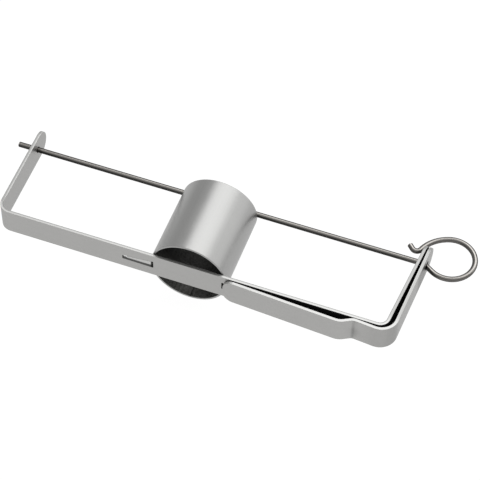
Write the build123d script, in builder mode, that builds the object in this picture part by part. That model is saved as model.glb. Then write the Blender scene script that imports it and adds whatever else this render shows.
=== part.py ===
"""Retaining holder: a U-shaped strap frame with a central sleeve, a spring clip
leaf and a removable wire pin with a finger ring and a snap hook.

Millimetres.  X runs along the strap's base, Y along the sleeve's axis from the
base towards the pin, Z across the strap's width.  The origin is on the
sleeve's axis, at the sleeve's base end.
"""

import os
from math import atan2, cos, degrees, hypot, radians, sin

from build123d import *

os.makedirs("parts", exist_ok=True)

# ---------------------------------------------------------------- dimensions
strap_w = 15.0            # strap width, along Z
strap_t = 1.6             # strap thickness
base_span = 205.0         # base, outside to outside
arm_height = 57.6         # right arm's tip above the base's outer face
left_arm = 58.9           # left arm's tip, likewise
left_lean = -0.0078       # left arm, outward lean per unit of height
right_lean = 0.084        # right arm, outward lean per unit of height
bend_left = 5.0           # inner bend radius, left corner
bend_right = 3.8          # inner bend radius, right corner

sleeve_r = 20.0           # sleeve outside radius
sleeve_wall = 1.0
sleeve_start = 0.0        # base end of the sleeve
sleeve_end = 45.1         # far rim of the sleeve
sleeve_seat = 0.1         # play between the sleeve and the strap

slot_in = 18.05           # slot end nearest the axis
slot_out = 34.45          # slot end farthest from the axis
slot_root = (-1.74, 2.97)  # slot edges across the width at its inner end
slot_tip = (-1.43, 0.92)  # slot edges across the width at its outer end
tab_len = 32.2            # tab tip, from the axis
tab_clear = 0.12          # play between tab and slot edge

clip_gap = 0.10           # seat play between clip and frame
clip_seat_x = 86.0        # seat of the clip on the base
clip_lean = 0.051         # clip arm, outward lean per unit of height
clip_arm_x = 105.0        # clip arm's inner face at the base's outer face
clip_tail_slope = 0.080   # slope of the clip from its seat to its corner
clip_bend = 7.4           # inner bend radius, clip corner
leaf_slope = 0.0525       # leaf's slope away from the base
leaf_tip_x = 19.3         # rounded end of the leaf
leaf_tip_gap = 0.30       # gap between the leaf's tip and the base
leaf_top_x = 79.9         # leaf end of the joggle
leaf_corner = 5.5         # rounding of the leaf's end
leaf_bend = 7.2           # joggle's bend at the leaf, inner radius
seat_bend = 4.0           # joggle's bend at the seat, inner radius
split_gap = 0.20          # slit at the leaf's flexure
split_at = 0.50           # where the slit crosses the joggle's ramp

wire_r = 1.4              # pin wire radius
pin_y = 46.8              # pin axis
pin_end_x = -112.0        # free end of the pin
pin_bend_x = 106.6        # where the shaft turns into the ring
hole_r = 1.7              # pin holes in the frame's arms
clip_hole_r = 2.6         # larger hole in the clip's arm
clip_hole_y = 46.0
ring_cx, ring_cy = 118.9, 54.05   # finger ring's centre
ring_r = 12.33            # finger ring's centreline radius
ring_split_y = 51.2       # slit at the ring's flexure
ring_gap = 0.4
crest_angle = 107.6       # where the ring gives way to a slacker arc
tail_r = 18.8             # slacker arc's radius
tail_turn = 49.5          # and its turn, degrees
tail_run = 0.78           # straight past the arm's tip
hook_r = 2.4              # hook's bend radius
hook_end_heading = 134.6  # heading of the hook's end, degrees
hook_run = 2.8            # straight at the hook's end
wire_chamfer = 0.2

half = strap_w / 2
left_x = -base_span / 2
right_x = base_span / 2


def unit(a, b):
    d = hypot(b[0] - a[0], b[1] - a[1])
    return ((b[0] - a[0]) / d, (b[1] - a[1]) / d)


def meet(p, u, q, v):
    # crossing of the line through p along u with the line through q along v
    den = u[0] * v[1] - u[1] * v[0]
    s = ((q[0] - p[0]) * v[1] - (q[1] - p[1]) * v[0]) / den
    return (p[0] + s * u[0], p[1] + s * u[1])


def side_line(pts, dist):
    # the polyline moved to its left by dist, with mitred corners
    dirs = [unit(a, b) for a, b in zip(pts, pts[1:])]
    offs = [(p[0] - u[1] * dist, p[1] + u[0] * dist) for p, u in zip(pts, dirs)]
    out = [offs[0]]
    for i in range(1, len(dirs)):
        out.append(meet(offs[i - 1], dirs[i - 1], offs[i], dirs[i]))
    last = dirs[-1]
    out.append((pts[-1][0] - last[1] * dist, pts[-1][1] + last[0] * dist))
    return out


# ------------------------------------------------------------- frame strap
base_y = -strap_t - sleeve_seat
tip_y = base_y + arm_height
left_tip_y = base_y + left_arm
frame_outer = [
    (left_x + left_lean * left_arm, left_tip_y),
    (left_x, base_y),
    (right_x, base_y),
    (right_x + right_lean * arm_height, tip_y),
]
# the outer line runs down the left arm, so its left side is the inside
frame_inner = side_line(frame_outer, strap_t)


def arc_between(points, radius, at):
    # tangent points and mid point of a round of the given radius at a corner
    a, p, b = points[at - 1], points[at], points[at + 1]
    u, v = unit(p, a), unit(p, b)
    dot = u[0] * v[0] + u[1] * v[1]
    half_angle = 0.5 * atan2(abs(u[0] * v[1] - u[1] * v[0]), dot)
    run = radius * cos(half_angle) / sin(half_angle)
    t1 = (p[0] + u[0] * run, p[1] + u[1] * run)
    t2 = (p[0] + v[0] * run, p[1] + v[1] * run)
    bis = unit((0, 0), (u[0] + v[0], u[1] + v[1]))
    reach = radius / sin(half_angle) - radius
    mid = (p[0] + bis[0] * reach, p[1] + bis[1] * reach)
    return t1, mid, t2


def draw_run(points, radii):
    # lines and tangent arcs through the points, inside a BuildLine
    here = points[0]
    for i in range(1, len(points) - 1):
        t1, mid, t2 = arc_between(points, radii[i - 1], i)
        Line(here, t1)
        ThreePointArc(t1, mid, t2)
        here = t2
    Line(here, points[-1])


def arm_plane(x, y, lean):
    # plane on an arm's outer face: its own x is across the strap, y up the arm
    along = unit((0, 0), (lean, 1.0))
    return Plane(origin=(x, y, 0), x_dir=(0, 0, 1), z_dir=(along[1], -along[0], 0))


with BuildPart() as frame_strap:
    with BuildSketch(Plane.XY.offset(-half)):
        with BuildLine():
            draw_run(frame_outer, [bend_left + strap_t, bend_right + strap_t])
            draw_run(frame_inner, [bend_left, bend_right])
            Line(frame_outer[0], frame_inner[0])
            Line(frame_outer[-1], frame_inner[-1])
        make_face()
    extrude(amount=strap_w)
    # full round on each arm tip
    for x, top_y in ((left_x, left_tip_y), (right_x, tip_y)):
        with BuildSketch(Plane(origin=(x, 0, 0), x_dir=(0, 1, 0), z_dir=(1, 0, 0))):
            with Locations((top_y - half / 2 + 2, 0)):
                Rectangle(half + 4, strap_w + 4)
            with Locations((top_y - half, 0)):
                Circle(half, mode=Mode.SUBTRACT)
            with Locations((top_y - half - 5, 0)):
                Rectangle(10, strap_w + 8, mode=Mode.SUBTRACT)
        extrude(amount=12, both=True, mode=Mode.SUBTRACT)
    # pin holes, in line along X
    with Locations((left_x, pin_y, 0), (right_x + 4.0, pin_y, 0)):
        Cylinder(hole_r, 14, rotation=(0, 90, 0), mode=Mode.SUBTRACT)
    # tapered slots for the sleeve's tabs
    for s in (-1, 1):
        with BuildSketch(Plane(origin=(0, 0.5, 0), x_dir=(1, 0, 0), z_dir=(0, -1, 0))):
            Polygon(
                (s * slot_in, slot_root[0]),
                (s * slot_in, slot_root[1]),
                (s * slot_out, slot_tip[1]),
                (s * slot_out, slot_tip[0]),
                align=None,
            )
        extrude(amount=strap_t + 1.0, mode=Mode.SUBTRACT)
frame_strap.part.label = "frame_strap"

# ------------------------------------------------------------ holder sleeve
tab_low = 0.0             # lower edge of the tab
tab_front = base_y + 0.05
tab_t = sleeve_wall

with BuildPart() as holder_tube:
    with BuildSketch(Plane(origin=(0, sleeve_start, 0), x_dir=(1, 0, 0), z_dir=(0, 1, 0))):
        Circle(sleeve_r)
        Circle(sleeve_r - sleeve_wall, mode=Mode.SUBTRACT)
    extrude(amount=sleeve_end - sleeve_start)
    for s in (-1, 1):
        # leg of the tab: the wall carried on through the slot
        slope = (slot_tip[1] - slot_root[1]) / (slot_out - slot_in)

        def top(x):
            return slot_root[1] + slope * (x - slot_in) - tab_clear

        leg_in = sleeve_r - sleeve_wall + 0.10
        leg_out = sleeve_r - 0.25
        with BuildSketch(Plane(origin=(0, sleeve_start + 1.0, 0), x_dir=(1, 0, 0), z_dir=(0, -1, 0))):
            Polygon(
                (s * leg_in, tab_low),
                (s * leg_in, top(leg_in)),
                (s * leg_out, top(leg_out)),
                (s * leg_out, tab_low),
                align=None,
            )
        extrude(amount=sleeve_start + 1.0 - tab_front)
        # the tab's folded length, lying in the slot
        with BuildSketch(Plane(origin=(0, tab_front + tab_t, 0), x_dir=(1, 0, 0), z_dir=(0, -1, 0))):
            Polygon(
                (s * leg_in, tab_low),
                (s * leg_in, top(leg_in)),
                (s * tab_len, top(tab_len)),
                (s * tab_len, tab_low),
                align=None,
            )
        extrude(amount=tab_t)
holder_tube.part.label = "holder_tube"

# ------------------------------------------------------- clip and its leaf
# inner line of the clip, from the leaf's tip to the clip arm's tip
leaf_y = base_y - leaf_tip_gap
leaf_top_y = leaf_y - leaf_slope * (leaf_top_x - leaf_tip_x)
seat_y = base_y - clip_gap
corner = meet(
    (clip_seat_x, seat_y), unit((0, 0), (1.0, -clip_tail_slope)),
    (clip_arm_x, base_y), unit((0, 0), (clip_lean, 1.0)),
)
clip_inner = [
    (leaf_tip_x, leaf_y),
    (leaf_top_x, leaf_top_y),
    (clip_seat_x, seat_y),
    corner,
    (clip_arm_x + clip_lean * arm_height, tip_y),
]
# the inner line runs towards +X, so its right side is the outside
clip_outer = side_line(clip_inner, -strap_t)

ramp_a = ((clip_inner[1][0] + clip_outer[1][0]) / 2, (clip_inner[1][1] + clip_outer[1][1]) / 2)
ramp_b = ((clip_inner[2][0] + clip_outer[2][0]) / 2, (clip_inner[2][1] + clip_outer[2][1]) / 2)
split_p = (
    ramp_a[0] + (ramp_b[0] - ramp_a[0]) * split_at,
    ramp_a[1] + (ramp_b[1] - ramp_a[1]) * split_at,
)
ramp_u = unit(ramp_a, ramp_b)

with BuildSketch(Plane.XY.offset(-half)) as clip_profile:
    with BuildLine():
        draw_run(clip_inner, [leaf_bend, seat_bend + strap_t, clip_bend])
        draw_run(clip_outer, [leaf_bend + strap_t, seat_bend, clip_bend + strap_t])
        Line(clip_inner[0], clip_outer[0])
        Line(clip_inner[-1], clip_outer[-1])
    make_face()


def slit_plane(shift):
    p = (split_p[0] + ramp_u[0] * shift, split_p[1] + ramp_u[1] * shift, 0)
    return Plane(origin=p, z_dir=(ramp_u[0], ramp_u[1], 0))


with BuildPart() as clip_strap:
    add(clip_profile.sketch)
    extrude(amount=strap_w)
    split(bisect_by=slit_plane(split_gap / 2), keep=Keep.TOP)
    with BuildSketch(Plane(origin=(clip_arm_x, 0, 0), x_dir=(0, 1, 0), z_dir=(1, 0, 0))):
        with Locations((tip_y - half / 2 + 2, 0)):
            Rectangle(half + 4, strap_w + 4)
        with Locations((tip_y - half, 0)):
            Circle(half, mode=Mode.SUBTRACT)
        with Locations((tip_y - half - 5, 0)):
            Rectangle(10, strap_w + 8, mode=Mode.SUBTRACT)
    extrude(amount=14, both=True, mode=Mode.SUBTRACT)
    with Locations((clip_arm_x + 4.0, clip_hole_y, 0)):
        Cylinder(clip_hole_r, 14, rotation=(0, 90, 0), mode=Mode.SUBTRACT)
clip_strap.part.label = "clip_strap"

with BuildPart() as clip_leaf:
    add(clip_profile.sketch)
    extrude(amount=strap_w)
    split(bisect_by=slit_plane(-split_gap / 2), keep=Keep.BOTTOM)
    with BuildSketch(Plane(origin=(0, 0, 0), x_dir=(1, 0, 0), z_dir=(0, -1, 0))):
        with Locations((leaf_tip_x + half / 2 - 2, 0)):
            Rectangle(half + 4, strap_w + 4)
        with Locations((leaf_tip_x + half, 0)):
            RectangleRounded(2 * half, strap_w, leaf_corner, mode=Mode.SUBTRACT)
        with Locations((leaf_tip_x + half + 5, 0)):
            Rectangle(10, strap_w + 8, mode=Mode.SUBTRACT)
    extrude(amount=10, both=True, mode=Mode.SUBTRACT)
clip_leaf.part.label = "clip_leaf"

# ------------------------------------------------------------------ the pin
# The shaft turns down into the ring; the ring's top comes back over the arm
# tips and ends in a small hook on the arm's inner side.
drop = radians(32.0)      # heading of the wire where it meets the ring
foot = (ring_cx - ring_r * sin(drop), ring_cy - ring_r * cos(drop))
ring_right = (
    ring_cx + (ring_r ** 2 - (ring_split_y - ring_cy) ** 2) ** 0.5,
    ring_split_y,
)


def on_ring(angle):
    a = radians(angle)
    return (ring_cx + ring_r * cos(a), ring_cy + ring_r * sin(a))


def split_angle(shift):
    return degrees(atan2(ring_split_y - ring_cy, ring_right[0] - ring_cx)) + degrees(shift / ring_r)


lower_end = split_angle(-ring_gap / 2)
upper_start = split_angle(ring_gap / 2)

# straight from the ring's foot back to the shaft's line, then a small bend
entry = meet(foot, (cos(drop), -sin(drop)), (0, pin_y), (1.0, 0.0))
entry_bend = 5.0
run = entry_bend * sin(drop / 2) / cos(drop / 2)
bend_start = (entry[0] - run, pin_y)
bend_end = (entry[0] + run * cos(drop), entry[1] - run * sin(drop))
bend_mid = (
    entry[0] - run + entry_bend * sin(drop / 2),
    pin_y - entry_bend * (1 - cos(drop / 2)),
)

with BuildPart() as pin_wire:
    with BuildLine() as pin_path:
        Line((pin_end_x, pin_y), bend_start)
        ThreePointArc(bend_start, bend_mid, bend_end)
        Line(bend_end, foot)
        ThreePointArc(foot, on_ring((270 - degrees(drop) + lower_end + 360) / 2), on_ring(lower_end))
    with BuildSketch(Plane(origin=(pin_end_x, pin_y, 0), x_dir=(0, 1, 0), z_dir=(1, 0, 0))):
        Circle(wire_r)
    sweep(path=pin_path.wires()[0])
    chamfer(pin_wire.edges().filter_by(GeomType.CIRCLE).sort_by(Axis.X)[0], wire_chamfer)
pin_wire.part.label = "pin_wire"

# The ring's upper half runs into a slacker arc down past the arm tips, then a
# short straight and a small hook on the arm's inner side.
start_heading = upper_start + 90
crest = on_ring(crest_angle)
crest_u = (cos(radians(crest_angle)), sin(radians(crest_angle)))
tail_c = (crest[0] - tail_r * crest_u[0], crest[1] - tail_r * crest_u[1])


def on_tail(angle):
    a = radians(angle)
    return (tail_c[0] + tail_r * cos(a), tail_c[1] + tail_r * sin(a))


tail_end = on_tail(crest_angle + tail_turn)
heading = crest_angle + tail_turn + 90
head_u = (cos(radians(heading)), sin(radians(heading)))
hook_start = (tail_end[0] + tail_run * head_u[0], tail_end[1] + tail_run * head_u[1])
hook_c = (hook_start[0] + hook_r * head_u[1], hook_start[1] - hook_r * head_u[0])


def on_hook(at_heading):
    a = radians(at_heading + 90)
    return (hook_c[0] + hook_r * cos(a), hook_c[1] + hook_r * sin(a))


hook_end = on_hook(hook_end_heading)
end_u = (cos(radians(hook_end_heading)), sin(radians(hook_end_heading)))

with BuildPart() as ring_tail:
    with BuildLine() as tail_path:
        ThreePointArc(on_ring(upper_start), on_ring((upper_start + crest_angle) / 2), crest)
        ThreePointArc(crest, on_tail(crest_angle + tail_turn / 2), tail_end)
        Line(tail_end, hook_start)
        ThreePointArc(hook_start, on_hook((heading + hook_end_heading) / 2), hook_end)
        Line(hook_end, (hook_end[0] + hook_run * end_u[0], hook_end[1] + hook_run * end_u[1]))
    with BuildSketch(
        Plane(
            origin=(*on_ring(upper_start), 0),
            x_dir=(0, 0, 1),
            z_dir=(cos(radians(start_heading)), sin(radians(start_heading)), 0),
        )
    ):
        Circle(wire_r)
    sweep(path=tail_path.wires()[0])
    chamfer(ring_tail.edges().filter_by(GeomType.CIRCLE).sort_by(Axis.X)[0], wire_chamfer)
ring_tail.part.label = "ring_tail"

# ------------------------------------------------------------------- export
export_step(frame_strap.part, "parts/frame_strap.step")
export_step(holder_tube.part, "parts/holder_tube.step")
export_step(clip_strap.part, "parts/clip_strap.step")
export_step(clip_leaf.part, "parts/clip_leaf.step")
export_step(pin_wire.part, "parts/pin_wire.step")
export_step(ring_tail.part, "parts/ring_tail.step")
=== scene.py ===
from math import atan2, ceil, cos, degrees, hypot, pi, radians, sin, sqrt

import bpy
from mathutils import Matrix, Vector
from mathutils.geometry import delaunay_2d_cdt


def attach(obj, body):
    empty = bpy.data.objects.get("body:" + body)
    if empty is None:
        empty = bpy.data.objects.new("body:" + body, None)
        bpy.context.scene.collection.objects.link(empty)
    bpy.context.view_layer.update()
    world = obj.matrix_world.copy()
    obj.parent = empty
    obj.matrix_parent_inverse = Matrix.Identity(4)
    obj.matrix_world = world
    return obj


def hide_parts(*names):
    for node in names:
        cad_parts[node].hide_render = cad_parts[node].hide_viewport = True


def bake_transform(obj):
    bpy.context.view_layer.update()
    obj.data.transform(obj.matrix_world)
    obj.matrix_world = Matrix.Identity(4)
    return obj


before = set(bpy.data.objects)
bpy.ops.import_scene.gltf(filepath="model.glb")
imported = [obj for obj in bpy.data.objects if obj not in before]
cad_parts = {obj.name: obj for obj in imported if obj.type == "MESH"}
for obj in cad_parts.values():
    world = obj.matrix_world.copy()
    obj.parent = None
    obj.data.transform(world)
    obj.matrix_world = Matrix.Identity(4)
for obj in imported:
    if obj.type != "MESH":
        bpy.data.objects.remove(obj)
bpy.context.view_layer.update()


MM = 0.001

# ------------------------------------------------------------------ sizes, mm
strap_w, strap_t = 15.0, 1.6
base_span, arm_height, left_arm = 205.0, 57.6, 58.9
left_lean, right_lean = -0.0078, 0.084
bend_left, bend_right = 5.0, 3.8
sleeve_r, sleeve_wall, sleeve_end, sleeve_seat = 20.0, 1.0, 45.1, 0.1
slot_in, slot_out = 18.05, 34.45
slot_root, slot_tip = (-1.74, 2.97), (-1.43, 0.92)
tab_len, tab_clear = 32.2, 0.12
clip_gap, clip_seat_x, clip_lean, clip_arm_x = 0.10, 86.0, 0.051, 105.0
clip_tail_slope, clip_bend = 0.080, 7.4
leaf_slope, leaf_tip_x, leaf_tip_gap, leaf_top_x = 0.0525, 19.3, 0.30, 79.9
leaf_corner, leaf_bend, seat_bend = 5.5, 7.2, 4.0
wire_r, pin_y, pin_end_x = 1.4, 46.8, -112.0
hole_r, clip_hole_r, clip_hole_y = 1.7, 2.6, 46.0
ring_cx, ring_cy, ring_r = 118.9, 54.05, 12.33
crest_angle, tail_r, tail_turn, tail_run = 107.6, 18.8, 49.5, 0.78
hook_r, hook_end_heading, hook_run = 2.4, 134.6, 2.8
half = strap_w / 2
left_x, right_x = -base_span / 2, base_span / 2
base_y = -strap_t - sleeve_seat
tip_y = base_y + arm_height


# -------------------------------------------------------------- path geometry
def unit(a, b):
    d = hypot(b[0] - a[0], b[1] - a[1])
    return ((b[0] - a[0]) / d, (b[1] - a[1]) / d)


def meet(p, u, q, v):
    den = u[0] * v[1] - u[1] * v[0]
    s = ((q[0] - p[0]) * v[1] - (q[1] - p[1]) * v[0]) / den
    return (p[0] + s * u[0], p[1] + s * u[1])


def side_line(pts, dist):
    dirs = [unit(a, b) for a, b in zip(pts, pts[1:])]
    offs = [(p[0] - u[1] * dist, p[1] + u[0] * dist) for p, u in zip(pts, dirs)]
    out = [offs[0]]
    for i in range(1, len(dirs)):
        out.append(meet(offs[i - 1], dirs[i - 1], offs[i], dirs[i]))
    last = dirs[-1]
    out.append((pts[-1][0] - last[1] * dist, pts[-1][1] + last[0] * dist))
    return out


class Path:
    """Lines and tangent arcs in the XY plane, measured by length along them."""

    def __init__(self):
        self.segs = []          # (start length, length, kind, data)
        self.length = 0.0

    def line(self, a, b):
        d = hypot(b[0] - a[0], b[1] - a[1])
        if d > 1e-6:
            self.segs.append((self.length, d, "line", (a, unit(a, b))))
            self.length += d

    def arc(self, c, r, a0, a1):
        d = r * abs(a1 - a0)
        self.segs.append((self.length, d, "arc", (c, r, a0, a1)))
        self.length += d

    def at(self, s):
        """Point and heading at length s; a little beyond either end too."""
        seg = self.segs[0]
        for g in self.segs:
            if s >= g[0] - 1e-9:
                seg = g
        s0, d, kind, data = seg
        if kind == "line":
            a, u = data
            return (a[0] + u[0] * (s - s0), a[1] + u[1] * (s - s0)), u
        c, r, a0, a1 = data
        sign = 1 if a1 > a0 else -1
        a = a0 + sign * (s - s0) / r
        return (c[0] + r * cos(a), c[1] + r * sin(a)), (-sin(a) * sign, cos(a) * sign)

    def stations(self, step, turn):
        out = []
        for s0, d, kind, data in self.segs:
            n = max(1, ceil(d / step)) if kind == "line" else max(1, ceil(abs(data[3] - data[2]) / radians(turn)))
            out += [s0 + d * i / n for i in range(n)]
        return out + [self.length]


def rounded_path(points, radii):
    path, here = Path(), points[0]
    for i in range(1, len(points) - 1):
        a, p, b = points[i - 1], points[i], points[i + 1]
        u, v = unit(a, p), unit(p, b)
        turn = atan2(u[0] * v[1] - u[1] * v[0], u[0] * v[0] + u[1] * v[1])
        r = radii[i - 1]
        run = r * abs(sin(turn / 2) / cos(turn / 2))
        t1 = (p[0] - u[0] * run, p[1] - u[1] * run)
        s = 1 if turn > 0 else -1
        c = (t1[0] - u[1] * r * s, t1[1] + u[0] * r * s)
        a0 = atan2(t1[1] - c[1], t1[0] - c[0])
        path.line(here, t1)
        path.arc(c, r, a0, a0 + turn)
        here = (p[0] + v[0] * run, p[1] + v[1] * run)
    path.line(here, points[-1])
    return path


# ------------------------------------------------------------- mesh builders
def outward_face(face, verts, normals):
    """The face, turned so that its own normal agrees with its points' normals."""
    ax = ay = az = 0.0
    for i in range(len(face)):
        p, q = verts[face[i - 1]], verts[face[i]]
        ax += (p[1] - q[1]) * (p[2] + q[2])
        ay += (p[2] - q[2]) * (p[0] + q[0])
        az += (p[0] - q[0]) * (p[1] + q[1])
    d = sum(ax * normals[i][0] + ay * normals[i][1] + az * normals[i][2] for i in face)
    return list(face) if d >= 0 else list(face)[::-1]


def new_object(name, verts, faces, normals, uvs, slots=None, edge=None, painted_shade_and_seam=None):
    mesh = bpy.data.meshes.new(name)
    faces = [outward_face(f, verts, normals) for f in faces]
    mesh.from_pydata([Vector(v) * MM for v in verts], [], faces)
    mesh.polygons.foreach_set("use_smooth", [True] * len(mesh.polygons))
    if slots:
        mesh.polygons.foreach_set("material_index", slots)
    layer = mesh.uv_layers.new(name="UVMap")
    for loop in mesh.loops:
        u = uvs[loop.vertex_index]
        layer.data[loop.index].uv = (u[0] * MM * 4, u[1] * MM * 4)
    grain = mesh.attributes.new("grain", "FLOAT_VECTOR", "POINT")
    for i, u in enumerate(uvs):
        grain.data[i].vector = (u[0] * MM, u[1] * MM, (u[2] if len(u) > 2 else 0.0) * MM)
    for word, values in (("edge", edge), ("painted_shade_and_seam", painted_shade_and_seam)):
        mark = mesh.attributes.new(word, "FLOAT", "POINT")
        mark.data.foreach_set("value", values or [0.0] * len(verts))
    mesh.update()
    mesh.normals_split_custom_set_from_vertices([Vector(n).normalized() for n in normals])
    ob = bpy.data.objects.new(name, mesh)
    bpy.context.scene.collection.objects.link(ob)
    return ob


def loop_normals(loop, outward):
    """Mitred outward offsets of a closed loop's points. outward is +1 for an outline that runs anticlockwise."""
    n, out = len(loop), []
    for i in range(n):
        a, p, b = loop[i - 1], loop[i], loop[(i + 1) % n]
        u, v = unit(a, p), unit(p, b)
        n1, n2 = (u[1] * outward, -u[0] * outward), (v[1] * outward, -v[0] * outward)
        m = (n1[0] + n2[0], n1[1] + n2[1])
        q = m[0] * m[0] + m[1] * m[1]
        out.append((2 * m[0] / q, 2 * m[1] / q))
    return out


def inside(p, loop):
    hit, n = False, len(loop)
    for i in range(n):
        a, b = loop[i - 1], loop[i]
        if (a[1] > p[1]) != (b[1] > p[1]) and p[0] < (b[0] - a[0]) * (p[1] - a[1]) / (b[1] - a[1]) + a[0]:
            hit = not hit
    return hit


def arc_points(c, r, a0, a1, n):
    return [(c[0] + r * cos(a0 + (a1 - a0) * i / n), c[1] + r * sin(a0 + (a1 - a0) * i / n)) for i in range(n + 1)]


def ease(x, a, b):
    """0 below a, 1 above b, smooth between."""
    k = max(0.0, min(1.0, (x - a) / (b - a)))
    return k * k * (3 - 2 * k)


def bent_plate(name, path, outline, holes, thick, edge_r, grid, shade=None, rows=3):
    """A flat blank, cut to outline with holes, edges rounded by edge_r, then bent along path. Outline runs anticlockwise in (length, width); holes too."""
    loops = [(outline, loop_normals(outline, 1))] + [(h, loop_normals(h, -1)) for h in holes]
    pts, edges, spans = [], [], []
    for loop, norm in loops:
        at = len(pts)
        pts += [(p[0] - m[0] * edge_r, p[1] - m[1] * edge_r) for p, m in zip(loop, norm)]
        edges += [(at + i, at + (i + 1) % len(loop)) for i in range(len(loop))]
        spans.append((at, len(loop)))
    inset = [pts[a:a + n] for a, n in spans]

    def far(p):
        return all(min((p[0] - q[0]) ** 2 + (p[1] - q[1]) ** 2 for q in ring) > 0.35 ** 2 for ring in inset)

    for p in grid:
        if inside(p, inset[0]) and not any(inside(p, h) for h in inset[1:]) and far(p):
            pts.append(p)
    co, _, tris, orig, _, _ = delaunay_2d_cdt([Vector(p) for p in pts], edges, [], 0, 1e-6)
    index = {}
    for i, src in enumerate(orig):
        for s in src:
            index[s] = i
    keep = []
    for t in tris:
        c = (sum(co[i][0] for i in t) / len(t), sum(co[i][1] for i in t) / len(t))
        if inside(c, inset[0]) and not any(inside(c, h) for h in inset[1:]):
            keep.append(list(t))
    verts, normals, uvs, faces, edge, painted_shade_and_seam = [], [], [], [], [], []
    top = thick / 2

    def put(u, v, w, nu, nv, nw, extra=0.0, rim=0.0, loop_at=0):
        (x, y), (tx, ty) = path.at(u)
        lx, ly = -ty, tx
        p = (x + lx * w, y + ly * w, v)
        n = (tx * nu + lx * nw, ty * nu + ly * nw, nv)
        verts.append(p)
        normals.append(n)
        uvs.append((u, v + extra, w))
        edge.append(rim)
        painted_shade_and_seam.append(shade(u, v, w, rim, loop_at, (x, y)) if shade else 0.0)
        return len(verts) - 1

    cap_top = [put(c[0], c[1], top, 0, 0, 1) for c in co]
    cap_low = [put(c[0], c[1], -top, 0, 0, -1) for c in co]
    for t in keep:
        area = sum(co[t[i - 1]][0] * co[t[i]][1] - co[t[i]][0] * co[t[i - 1]][1] for i in range(len(t)))
        if area < 0:
            t = t[::-1]
        # the left side of the path is +w, and (length, width, w) is a left-handed frame
        faces.append([cap_top[i] for i in reversed(t)])
        faces.append([cap_low[i] for i in t])
    for k_loop, ((loop, norm), (at, n)) in enumerate(zip(loops, spans)):
        hole = k_loop > 0
        bands = [[cap_top[index[at + i]] for i in range(n)]]
        round_rows = [radians(90 * k / rows) for k in range(1, rows + 1)]
        steps = [(sin(a), cos(a), top - edge_r + edge_r * cos(a)) for a in round_rows]
        steps += [(1.0, 0.0, top * 0.35), (1.0, 0.0, -top * 0.1)]
        steps += [(sin(a), -cos(a), -(top - edge_r + edge_r * cos(a))) for a in reversed(round_rows)]
        for sa, nw, w in steps:
            row = []
            for i in range(n):
                m = norm[i]
                k = hypot(*m)
                base = pts[at + i]
                row.append(put(base[0] + m[0] * edge_r * sa, base[1] + m[1] * edge_r * sa, w,
                               m[0] / k * sa, m[1] / k * sa, nw, (1 if m[1] > 0 else -1) * (top - w), sa, k_loop))
            bands.append(row)
        bands.append([cap_low[index[at + i]] for i in range(n)])
        for a, b in zip(bands, bands[1:]):
            for i in range(n):
                j = (i + 1) % n
                quad = [a[i], a[j], b[j], b[i]]
                faces.append(quad if not hole else quad[::-1])
    return new_object(name, verts, faces, normals, uvs, edge=edge, painted_shade_and_seam=painted_shade_and_seam)


def wire_painted_light(n, along, shaft=0.0):
    """How much painted shade the wire gets at a normal: a painted highlight as one bright line along its upper front,
    painted shade at its sides and, on the shaft, its underside.
    """
    d = (0.26, -0.31, 0.91)
    k = sum(a * b for a, b in zip(d, along))
    d = tuple(a - k * b for a, b in zip(d, along))
    c = sum(a * b for a, b in zip(n, d)) / sqrt(sum(a * a for a in d))
    low = -0.811 * n[1] - 0.585 * n[2]
    side = shaft * (0.26 * ease(low, -0.05, 0.5) + 0.16 * ease(-low, 0.55, 0.85))
    return min(0.93, 0.85 - 0.21 * ease(c, 0.05, 0.6) + side) - 0.60 * ease(c, 0.925, 0.997)


def swept_wire(name, path, r, chamfer=0.2, sides=40, step=3.0, turn=3.0):
    """A round wire along the path, flat at both ends with a broken edge."""
    st = path.stations(step, turn)
    rings = [(0.0, 0.0, "end"), (0.0, r - chamfer, "end"), (0.0, r - chamfer, "edge"), (chamfer, r, "edge"), (chamfer, r, "side")]
    rings += [(s, r, "side") for s in st if chamfer + 0.05 < s < path.length - chamfer - 0.05]
    e = path.length
    rings += [(e - chamfer, r, "side"), (e - chamfer, r, "edge"), (e, r - chamfer, "edge"), (e, r - chamfer, "end"), (e, 0.0, "end")]
    verts, normals, uvs, faces, rows, painted_shade_and_seam = [], [], [], [], [], []
    for k, (s, rad, kind) in enumerate(rings):
        (x, y), (tx, ty) = path.at(s)
        lx, ly = -ty, tx
        flip = -1 if k < len(rings) / 2 else 1
        row = []
        for i in range(sides):
            a = 2 * pi * i / sides
            ca, sa = cos(a), sin(a)
            q = rad if rad > 0 else 0.02
            verts.append((x + lx * q * ca, y + ly * q * ca, q * sa))
            side_n = (lx * ca, ly * ca, sa)
            if kind == "end":
                n = (tx * flip, ty * flip, 0)
            elif kind == "edge":
                n = (side_n[0] + tx * flip, side_n[1] + ty * flip, side_n[2])
            else:
                n = side_n
            normals.append(n)
            uvs.append((s, a * r, sa))
            # painted highlight along the wire with painted shade around it; the flat ends a little darker
            painted_shade_and_seam.append(0.15 if kind == "end" else wire_painted_light(side_n, (tx, ty, 0.0), 1 - ease(x, 92, 108) if s < 220 else 0.0))
            row.append(len(verts) - 1)
        rows.append(row)
    for k, (a, b) in enumerate(zip(rows, rows[1:])):
        if rings[k][:2] == rings[k + 1][:2]:
            continue
        for i in range(sides):
            j = (i + 1) % sides
            faces.append([a[i], a[j], b[j], b[i]])
    faces.append(rows[0][::-1])
    faces.append(rows[-1])
    return new_object(name, verts, faces, normals, uvs, painted_shade_and_seam=painted_shade_and_seam)


# ---------------------------------------------------------------- materials
def material(name, slot_name):
    m = bpy.data.materials.new(name)
    m.use_nodes = True
    nt = m.node_tree
    nt.nodes.clear()
    out = nt.nodes.new("ShaderNodeOutputMaterial")
    bsdf = nt.nodes.new("ShaderNodeBsdfPrincipled")
    nt.links.new(bsdf.outputs[0], out.inputs[0])
    bsdf.inputs["Metallic"].default_value = 1.0
    return m, nt, bsdf


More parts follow.
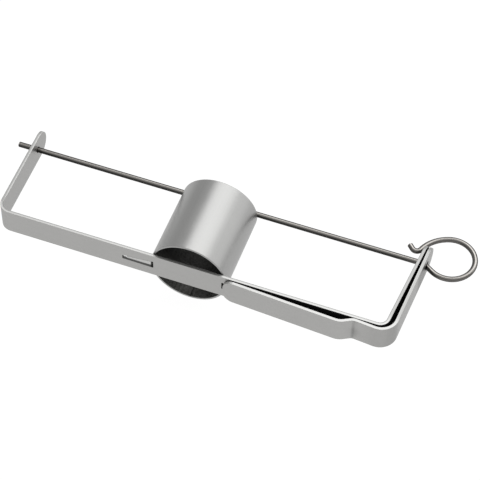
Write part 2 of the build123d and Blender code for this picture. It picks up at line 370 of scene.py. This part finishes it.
def stretched_noise(nt, scale, noise_scale, detail=4.0, rough=0.6, attribute="grain"):
    at = nt.nodes.new("ShaderNodeAttribute")
    at.attribute_name = attribute
    mp = nt.nodes.new("ShaderNodeMapping")
    mp.inputs["Scale"].default_value = scale
    no = nt.nodes.new("ShaderNodeTexNoise")
    no.inputs["Scale"].default_value = noise_scale
    no.inputs["Detail"].default_value = detail
    no.inputs["Roughness"].default_value = rough
    nt.links.new(at.outputs["Vector"], mp.inputs["Vector"])
    nt.links.new(mp.outputs[0], no.inputs["Vector"])
    return no.outputs["Fac"]


def ramp(nt, fac, stops):
    r = nt.nodes.new("ShaderNodeValToRGB")
    els = r.color_ramp.elements
    while len(els) > 1:
        els.remove(els[-1])
    els[0].position, els[0].color = stops[0][0], (*stops[0][1], 1)
    for pos, col in stops[1:]:
        e = els.new(pos)
        e.color = (*col, 1)
    nt.links.new(fac, r.inputs["Fac"])
    return r.outputs["Color"]


def mul(nt, a, b):
    n = nt.nodes.new("ShaderNodeMath")
    n.operation = "MULTIPLY"
    nt.links.new(a, n.inputs[0])
    if isinstance(b, float):
        n.inputs[1].default_value = b
    else:
        nt.links.new(b, n.inputs[1])
    return n.outputs[0]


def add(nt, a, b):
    n = nt.nodes.new("ShaderNodeMath")
    n.operation = "ADD"
    nt.links.new(a, n.inputs[0])
    if isinstance(b, float):
        n.inputs[1].default_value = b
    else:
        nt.links.new(b, n.inputs[1])
    return n.outputs[0]


def metal(name, slot_name, tone, spread, rough, rough_spread, lines, blotch, bump, edge_tone=None, edge_rough=0.5, rim_tint=0.77, speckle=0.0):
    """Metal with drawn lines, soft blotches, fine pits and a little wear in its roughness; its sheared edges are brighter and rougher."""
    m, nt, bsdf = material(name, slot_name)
    fine = stretched_noise(nt, lines, 1.0, 5.0, 0.62)
    soft = stretched_noise(nt, (1, 1, 1), blotch, 3.0, 0.5)
    pits = stretched_noise(nt, (1, 1, 1), 900.0, 2.0, 0.5)
    mix = add(nt, add(nt, mul(nt, fine, 0.4), mul(nt, soft, 0.25)), mul(nt, pits, 0.35))
    bsdf.inputs["Specular Tint"].default_value = (rim_tint, rim_tint, rim_tint, 1)
    bsdf.inputs["Specular IOR Level"].default_value = 0.0
    lo = tuple(max(0.0, c - spread) for c in tone)
    hi = tuple(min(1.0, c + spread) for c in tone)
    colour = ramp(nt, mix, [(0.32, lo), (0.5, tone), (0.68, hi)])
    rr = nt.nodes.new("ShaderNodeMapRange")
    rr.inputs["From Min"].default_value = 0.3
    rr.inputs["From Max"].default_value = 0.7
    rr.inputs["To Min"].default_value = rough - rough_spread
    rr.inputs["To Max"].default_value = rough + rough_spread
    nt.links.new(mix, rr.inputs["Value"])
    rough_out = rr.outputs[0]
    if edge_tone:
        at = nt.nodes.new("ShaderNodeAttribute")
        at.attribute_name = "edge"
        mark = nt.nodes.new("ShaderNodeMapRange")
        mark.inputs["From Min"].default_value = 0.45
        mark.inputs["From Max"].default_value = 0.95
        nt.links.new(at.outputs["Fac"], mark.inputs["Value"])
        cm = nt.nodes.new("ShaderNodeMix")
        cm.data_type = "RGBA"
        nt.links.new(mark.outputs[0], cm.inputs[0])
        nt.links.new(colour, cm.inputs[6])
        cm.inputs[7].default_value = (*edge_tone, 1)
        colour = cm.outputs[2]
        rm = nt.nodes.new("ShaderNodeMix")
        nt.links.new(mark.outputs[0], rm.inputs[0])
        nt.links.new(rough_out, rm.inputs[2])
        rm.inputs[3].default_value = edge_rough
        rough_out = rm.outputs[0]
    # the per-point attribute read here mixes the colour towards near-black: painted shade wherever it is set, painted
    # shade around a painted highlight on the wire, and the sleeve's dark seam line; where it is strongest the metal
    # turns non-metallic so that the painted shade does not reflect
    at = nt.nodes.new("ShaderNodeAttribute")
    at.attribute_name = "painted_shade_and_seam"
    dm = nt.nodes.new("ShaderNodeMix")
    dm.data_type = "RGBA"
    painted_shade_and_seam_out = at.outputs["Fac"]
    if speckle:
        sp = nt.nodes.new("ShaderNodeMapRange")
        sp.inputs["From Min"].default_value = 0.35
        sp.inputs["From Max"].default_value = 0.65
        sp.inputs["To Min"].default_value = 1.0 - speckle
        sp.inputs["To Max"].default_value = 1.0
        nt.links.new(pits, sp.inputs["Value"])
        painted_shade_and_seam_out = mul(nt, painted_shade_and_seam_out, sp.outputs[0])
    metal_map = nt.nodes.new("ShaderNodeMapRange")
    metal_map.inputs["From Min"].default_value = 0.90
    metal_map.inputs["From Max"].default_value = 0.98
    metal_map.inputs["To Min"].default_value = 1.0
    metal_map.inputs["To Max"].default_value = 0.0
    nt.links.new(at.outputs["Fac"], metal_map.inputs["Value"])
    nt.links.new(metal_map.outputs[0], bsdf.inputs["Metallic"])
    nt.links.new(painted_shade_and_seam_out, dm.inputs[0])
    nt.links.new(colour, dm.inputs[6])
    dm.inputs[7].default_value = (0.012, 0.012, 0.012, 1)
    colour = dm.outputs[2]
    nt.links.new(colour, bsdf.inputs["Base Color"])
    nt.links.new(rough_out, bsdf.inputs["Roughness"])
    bp = nt.nodes.new("ShaderNodeBump")
    bp.inputs["Strength"].default_value = bump
    bp.inputs["Distance"].default_value = 0.00002
    nt.links.new(add(nt, mul(nt, fine, 0.8), mul(nt, pits, 0.2)), bp.inputs["Height"])
    nt.links.new(bp.outputs[0], bsdf.inputs["Normal"])
    return m, nt, bsdf


strap_mat, _, _ = metal("strap_satin", "strap_steel", (0.385, 0.383, 0.375), 0.024, 0.36, 0.05, (18, 2600, 2600), 60.0, 0.3, (0.56, 0.56, 0.55), 0.5)
sleeve_mat, _, _ = metal("sleeve_satin", "sleeve_steel", (0.35, 0.35, 0.345), 0.02, 0.37, 0.05, (16, 2200, 2200), 45.0, 0.3, rim_tint=0.9)
inner_mat, _, _ = metal("sleeve_inside", "sleeve_steel", (0.20, 0.20, 0.19), 0.10, 0.55, 0.08, (60, 900, 900), 160.0, 0.5, speckle=0.16)
# painted light: the tabs are the sleeve's own steel, given a lighter tone so their faces look lit
tab_lit_mat, _, _ = metal("tab_satin_painted_light", "sleeve_steel", (0.52, 0.52, 0.51), 0.03, 0.40, 0.05, (20, 2200, 2200), 60.0, 0.3)
wire_mat, _, _ = metal("wire_drawn", "wire_steel", (0.37, 0.355, 0.335), 0.03, 0.20, 0.04, (25, 900, 900), 60.0, 0.12, rim_tint=0.35)

# -------------------------------------------------------------- frame strap
frame_outer = [
    (left_x + left_lean * left_arm, base_y + left_arm),
    (left_x, base_y),
    (right_x, base_y),
    (right_x + right_lean * arm_height, tip_y),
]
frame_path = rounded_path(side_line(frame_outer, strap_t / 2), [bend_left + strap_t / 2, bend_right + strap_t / 2])


def strip_outline(path, w, stations, start_r=None, end_r=None):
    """A strip's outline with rounded ends, full rounds unless a corner radius is given, anticlockwise in (length, width)."""
    h, length = w / 2, path.length
    a, b = start_r or h, end_r or h
    mid = [s for s in stations if a + 0.3 < s < length - b - 0.3]
    pts = [(s, -h) for s in [a] + mid + [length - b]]
    pts += arc_points((length - b, b - h), b, -pi / 2, 0, 18)[1:]
    pts += arc_points((length - b, h - b), b, 0, pi / 2, 18)[1 if b == h else 0:-1]
    pts += [(s, h) for s in reversed([a] + mid + [length - b])]
    pts += arc_points((a, h - a), a, pi / 2, pi, 18)[1:]
    pts += arc_points((a, a - h), a, pi, 3 * pi / 2, 18)[1 if a == h else 0:-1]
    return pts


def hole_outline(u, v, r, n=44):
    return arc_points((u, v), r, 0, 2 * pi, n)[:-1]


def soft_polygon(pts, r, n=4):
    """A polygon, anticlockwise, with its corners rounded."""
    if sum(a[0] * b[1] - b[0] * a[1] for a, b in zip(pts, pts[1:] + pts[:1])) < 0:
        pts = pts[::-1]
    out, k = [], len(pts)
    for i in range(k):
        a, p, b = pts[i - 1], pts[i], pts[(i + 1) % k]
        u, v = unit(a, p), unit(p, b)
        turn = atan2(u[0] * v[1] - u[1] * v[0], u[0] * v[0] + u[1] * v[1])
        run = r * sin(turn / 2) / cos(turn / 2)
        c = (p[0] - u[0] * run - u[1] * r, p[1] - u[1] * run + u[0] * r)
        a0 = atan2(p[1] - u[1] * run - c[1], p[0] - u[0] * run - c[0])
        out += arc_points(c, r, a0, a0 + turn, n)
    return out


def refine(loop, step):
    out, n = [], len(loop)
    for i in range(n):
        a, b = loop[i], loop[(i + 1) % n]
        k = max(1, ceil(hypot(b[0] - a[0], b[1] - a[1]) / step))
        out += [(a[0] + (b[0] - a[0]) * j / k, a[1] + (b[1] - a[1]) * j / k) for j in range(k)]
    return out


def length_at(path, want, axis, lo, hi):
    """Length along the path where its coordinate on that axis is want, between two lengths."""
    f = lambda s: path.at(s)[0][axis] - want
    for _ in range(60):
        mid = (lo + hi) / 2
        if (f(lo) > 0) == (f(mid) > 0):
            lo = mid
        else:
            hi = mid
    return (lo + hi) / 2


def strip_grid(stations, half_w):
    return [(s, v) for s in stations for v in (-half_w * 0.8, -half_w * 0.4, 0.0, half_w * 0.4, half_w * 0.8)]


st = frame_path.stations(3.0, 4.0)
L = frame_path.length
s_left = length_at(frame_path, pin_y, 1, 0, 40)
s_right = length_at(frame_path, pin_y, 1, L - 40, L)
s_mid = length_at(frame_path, 0.0, 0, 80, L - 80)
frame_holes = [hole_outline(s_left, 0, hole_r), hole_outline(s_right, 0, hole_r)]
for side in (-1, 1):
    frame_holes.append(refine(soft_polygon([
        (s_mid + side * slot_in, slot_root[0]), (s_mid + side * slot_in, slot_root[1]),
        (s_mid + side * slot_out, slot_tip[1]), (s_mid + side * slot_out, slot_tip[0])], 0.25), 1.2))


def frame_painted_shade(u, v, w, rim, loop_at, p):
    """Painted shade: on the punched walls of the holes and slots, on the edge along its inner side and up the arms, and
    on the base's outer face in the slit behind the clip.
    """
    x, y = p
    # painted shade on the walls of the pin holes and, darker, of the slots
    if loop_at:
        return (0.88 if loop_at > 2 else 0.7) * ease(rim, 0.3, 0.9)
    d = 0.0
    # painted shade on the edge, along its inner side and stronger up the arms
    if rim > 0.3:
        d = 0.5 * ease(w, 0.05, 0.62)
        d = max(d, 0.18 * ease(y, 1, 8) if x < 0 else 0.30 * ease(y, 1, 8))
        if y > 4 and x < 0:
            # painted highlight on the left arm's edge along its inner side, painted shade on the rest of that edge
            d = 0.34 * (1 - ease(w, -0.05, 0.4)) * ease(y, 4, 10) + 0.3 * (1 - ease(y, 4, 10))
        elif w > 0.05 and y > 4:
            d = max(d, 0.42 * ease(w, 0.05, 0.62))
    # painted shade on the base's outer face in the slit under the clip's leaf, fading in from x 25 to 44
    if w < -0.3 and x > 24:
        d = max(d, 0.985 * ease(x, 25, 44) * (1 - ease(rim, 0.3, 0.8)))
    return d


frame_piece = bent_plate("frame_strap_steel", frame_path, strip_outline(frame_path, strap_w, st),
                         frame_holes, strap_t, 0.16, strip_grid(st, half), frame_painted_shade)
frame_piece.data.materials.append(strap_mat)
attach(frame_piece, "frame")
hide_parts("frame_strap")

# --------------------------------------------------------------- clip strap
seat_y = base_y - clip_gap
leaf_y = base_y - leaf_tip_gap
leaf_top_y = leaf_y - leaf_slope * (leaf_top_x - leaf_tip_x)
corner = meet(
    (clip_seat_x, seat_y), unit((0, 0), (1.0, -clip_tail_slope)),
    (clip_arm_x, base_y), unit((0, 0), (clip_lean, 1.0)),
)
clip_inner = [
    (leaf_tip_x, leaf_y), (leaf_top_x, leaf_top_y), (clip_seat_x, seat_y), corner,
    (clip_arm_x + clip_lean * arm_height, tip_y),
]
clip_path = rounded_path(side_line(clip_inner, -strap_t / 2),
                         [leaf_bend + strap_t / 2, seat_bend + strap_t / 2, clip_bend + strap_t / 2])
cst = clip_path.stations(2.0, 4.0)
s_clip = length_at(clip_path, clip_hole_y, 1, clip_path.length - 30, clip_path.length)
s_seat = length_at(clip_path, clip_seat_x + 0.6, 0, 50, 90)


def clip_painted_shade_and_marks(u, v, w, rim, loop_at, p):
    """Painted shade in the slit, on the hole's wall, up the arm's edge and in a patch under the pin; also a faint
    darker mark along the seat's bend, two spots beside it and a slight darkening towards the lower corner.
    """
    x, y = p
    # painted shade on the pin hole's wall
    if loop_at:
        return 0.75 * ease(rim, 0.3, 0.9)
    # painted shade on the clip's inner face in the slit, from x 22 on
    if w > 0.3:
        return 0.985 * ease(x, 22, 28) * (1 - ease(rim, 0.3, 0.8))
    d = 0.0
    # painted shade on the edge, growing up the arm
    if rim > 0.3:
        d = 0.27 * ease(y, 0, 8)
    else:
        # darker along the seat's bend, in two spots beside it and towards the lower corner
        wave = 0.55 + 0.3 * sin(v * 1.9 + 0.6) + 0.15 * sin(v * 4.3)
        d = 0.36 * wave * (1 - ease(abs(u - s_seat - 0.25 * sin(v * 1.1)), 0.2, 1.2 + 0.5 * wave)) + 0.16 * (1 - ease(hypot(u - s_seat - 1.0, v + 1), 0.5, 5.0))
        d += 0.12 * (1 - ease(hypot(u - s_seat + 3.2, v + 1.5), 0.4, 1.8))
        d += 0.10 * ease(x, 88, 100) * (1 - ease(y, 2, 10)) + 0.08 * ease(x, 101, 105) * (1 - ease(y, 2, 10))
        # painted shadow of the pin wire across the arm's outer face, just under where it leaves the hole
        d += 0.36 * ease(y, 31, 35) * (1 - ease(y, 43, 48))
    return min(d, 0.9)


clip_piece = bent_plate("clip_strap_steel", clip_path, strip_outline(clip_path, strap_w, cst, start_r=leaf_corner),
                        [hole_outline(s_clip, 0, clip_hole_r)], strap_t, 0.16, strip_grid(cst, half), clip_painted_shade_and_marks)
clip_piece.data.materials.append(strap_mat)
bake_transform(clip_piece)
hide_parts("clip_strap", "clip_leaf")


# ------------------------------------------------------------------- sleeve
def lathe_sleeve():
    """Open tube along Y with both rims rounded; outside one material, inside the other."""
    edge, n = 0.28, 192
    ro, ri = sleeve_r, sleeve_r - sleeve_wall
    prof = []                       # (radius, y, normal radial, normal y, slot, run)
    ys = [edge + (sleeve_end - 2 * edge) * i / 12 for i in range(13)]
    for y in ys:
        prof.append((ro, y, 1, 0, 0))
    for k in range(1, 5):
        a = radians(90 * k / 4)
        prof.append((ro - edge + edge * cos(a), sleeve_end - edge + edge * sin(a), cos(a), sin(a), 0))
    for k in range(0, 5):
        a = radians(90 + 90 * k / 4)
        prof.append((ri + edge + edge * cos(a), sleeve_end - edge + edge * sin(a), cos(a), sin(a), 0))
    for y in reversed(ys):
        prof.append((ri, y, -1, 0, 1))
    for k in range(0, 5):
        a = radians(180 + 90 * k / 4)
        prof.append((ri + edge + edge * cos(a), edge + edge * sin(a), cos(a), sin(a), 0))
    for k in range(0, 4):
        a = radians(270 + 90 * k / 4)
        prof.append((ro - edge + edge * cos(a), edge + edge * sin(a), cos(a), sin(a), 0))
    verts, normals, uvs, faces, slots, painted_shade_and_seam = [], [], [], [], [], []
    run = 0.0
    for k, (r, y, nr, ny, _) in enumerate(prof):
        if k:
            run += hypot(r - prof[k - 1][0], y - prof[k - 1][1])
        for i in range(n):
            a = 2 * pi * i / n
            verts.append((r * sin(a), y, r * cos(a)))
            normals.append((nr * sin(a), ny, nr * cos(a)))
            uvs.append((run, a * sleeve_r, r - ri))
            # painted shade inside the tube, growing from 4 to 17 mm in from the rim; a dark seam line along the inside
            # at the bottom
            seam = 1 - ease(abs(degrees(a) - 178), 0.5, 2.2)
            painted_shade_and_seam.append(max(0.93 * ease(y, 4, 17), 0.75 * seam) if nr < -0.9 and r < ri + 0.1 else 0.0)
    m = len(prof)
    for k in range(m):
        k2 = (k + 1) % m
        for i in range(n):
            j = (i + 1) % n
            faces.append([k * n + i, k * n + j, k2 * n + j, k2 * n + i][::-1])
            slots.append(1 if prof[k][4] and prof[k2][4] else 0)
    return new_object("sleeve_tube", verts, faces, normals, uvs, slots, painted_shade_and_seam=painted_shade_and_seam)


sleeve = lathe_sleeve()
sleeve.data.materials.append(sleeve_mat)
sleeve.data.materials.append(inner_mat)
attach(sleeve, "frame")
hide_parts("holder_tube")

tab_t = 0.85
tab_front = base_y + 0.05
slope = (slot_tip[1] - slot_root[1]) / (slot_out - slot_in)
for side, word in ((-1, "left"), (1, "right")):
    # down out of the wall, then folded outward along the slot
    leg_x = side * (sleeve_r - 0.5)
    lay_y = tab_front + tab_t / 2
    tab_path = rounded_path([(leg_x, 0.9), (leg_x, lay_y), (side * tab_len, lay_y)], [0.5])
    tp = tab_path.length

    def top_edge(s):
        x = abs(tab_path.at(max(0.0, min(s, tp)))[0][0])
        return slot_root[1] + slope * (x - slot_in) - tab_clear

    stt = tab_path.stations(1.0, 12.0)
    low = [(s, 0.0) for s in stt]
    high = [(s, top_edge(s)) for s in reversed(stt)]
    tab = bent_plate("sleeve_tab_" + word, tab_path, low + high, [], tab_t, 0.12,
                     [(s, top_edge(s) * 0.5) for s in stt[1:-1]])
    tab.data.materials.append(tab_lit_mat)
    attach(tab, "frame")

# --------------------------------------------------------------------- wire
drop = radians(32.0)
foot = (ring_cx - ring_r * sin(drop), ring_cy - ring_r * cos(drop))
entry = meet(foot, (cos(drop), -sin(drop)), (0, pin_y), (1.0, 0.0))
wire_path = rounded_path([(pin_end_x, pin_y), entry, foot], [5.0])
wire_path.arc((ring_cx, ring_cy), ring_r, radians(270 - 32.0 - 360), radians(crest_angle))
cu = (cos(radians(crest_angle)), sin(radians(crest_angle)))
crest = (ring_cx + ring_r * cu[0], ring_cy + ring_r * cu[1])
tail_c = (crest[0] - tail_r * cu[0], crest[1] - tail_r * cu[1])
wire_path.arc(tail_c, tail_r, radians(crest_angle), radians(crest_angle + tail_turn))
ta = radians(crest_angle + tail_turn)
tail_end = (tail_c[0] + tail_r * cos(ta), tail_c[1] + tail_r * sin(ta))
hu = (cos(ta + pi / 2), sin(ta + pi / 2))
hook_start = (tail_end[0] + tail_run * hu[0], tail_end[1] + tail_run * hu[1])
wire_path.line(tail_end, hook_start)
hook_c = (hook_start[0] + hook_r * hu[1], hook_start[1] - hook_r * hu[0])
h0, h1 = ta + pi / 2 + pi / 2, radians(hook_end_heading + 90)
wire_path.arc(hook_c, hook_r, h0, h1)
hook_end = (hook_c[0] + hook_r * cos(h1), hook_c[1] + hook_r * sin(h1))
eu = (cos(h1 - pi / 2), sin(h1 - pi / 2))
wire_path.line(hook_end, (hook_end[0] + hook_run * eu[0], hook_end[1] + hook_run * eu[1]))
wire = swept_wire("pin_wire_steel", wire_path, wire_r)
wire.data.materials.append(wire_mat)
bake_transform(wire)
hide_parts("pin_wire", "ring_tail")

# ------------------------------------------------------- floor, light, camera
def stage_plane(name, size, z):
    mesh = bpy.data.meshes.new(name)
    mesh.from_pydata([(-size, -size, z), (size, -size, z), (size, size, z), (-size, size, z)], [], [(0, 1, 2, 3)])
    ob = bpy.data.objects.new(name, mesh)
    bpy.context.scene.collection.objects.link(ob)
    return ob


floor = stage_plane("floor", 2.5, -0.0202)
fm = bpy.data.materials.new("floor_pale")
fm.use_nodes = True
fb = fm.node_tree.nodes["Principled BSDF"]
fb.inputs["Base Color"].default_value = (0.10, 0.10, 0.10, 1)
fb.inputs["Roughness"].default_value = 0.9
fb.inputs["Specular IOR Level"].default_value = 0.0
fb.inputs["Emission Color"].default_value = (1, 1, 1, 1)
fb.inputs["Emission Strength"].default_value = 0.95
floor.data.materials.append(fm)


def area(name, loc, target, size_x, size_y, power, color=(1, 1, 1)):
    data = bpy.data.lights.new(name, "AREA")
    data.shape = "RECTANGLE"
    data.size, data.size_y = size_x, size_y
    data.energy = power
    data.color = color
    ob = bpy.data.objects.new(name, data)
    bpy.context.scene.collection.objects.link(ob)
    ob.location = loc
    ob.rotation_euler = (Vector(target) - Vector(loc)).to_track_quat("-Z", "Y").to_euler()
    return ob


key = 1.85       # the softboxes' radiance
area("key_top", (0.21, 0.86, 1.20), (0, 0, 0), 1.5, 1.2, key * pi * 1.5 * 1.2)
area("side_right", (1.15, 0.80, 0.40), (0, 0, 0), 1.1, 1.0, 0.85 * pi * 1.1 * 1.0)

world = bpy.data.worlds.new("studio")
world.use_nodes = True
world.node_tree.nodes["Background"].inputs[0].default_value = (1, 1, 1, 1)
world.node_tree.nodes["Background"].inputs[1].default_value = 0.66
bpy.context.scene.world = world
bpy.context.scene.view_settings.view_transform = "Standard"

cam_data = bpy.data.cameras.new("camera")
cam_data.sensor_width = 36.0
cam_data.lens = 145.06
cam_data.clip_start = 0.01
cam_data.clip_end = 20.0
cam = bpy.data.objects.new("camera", cam_data)
bpy.context.scene.collection.objects.link(cam)
right = Vector((0.9389082, 0.343935, 0.0126523))
up = -Vector((0.2807412, -0.7440942, -0.6062246))
back = -Vector((-0.1990874, 0.5727413, -0.7951928))
rot = Matrix((right, up, back)).transposed().to_4x4()
cam.matrix_world = Matrix.Translation(Vector((0.2095031, -0.526059, 0.7699119))) @ rot
bpy.context.scene.camera = cam
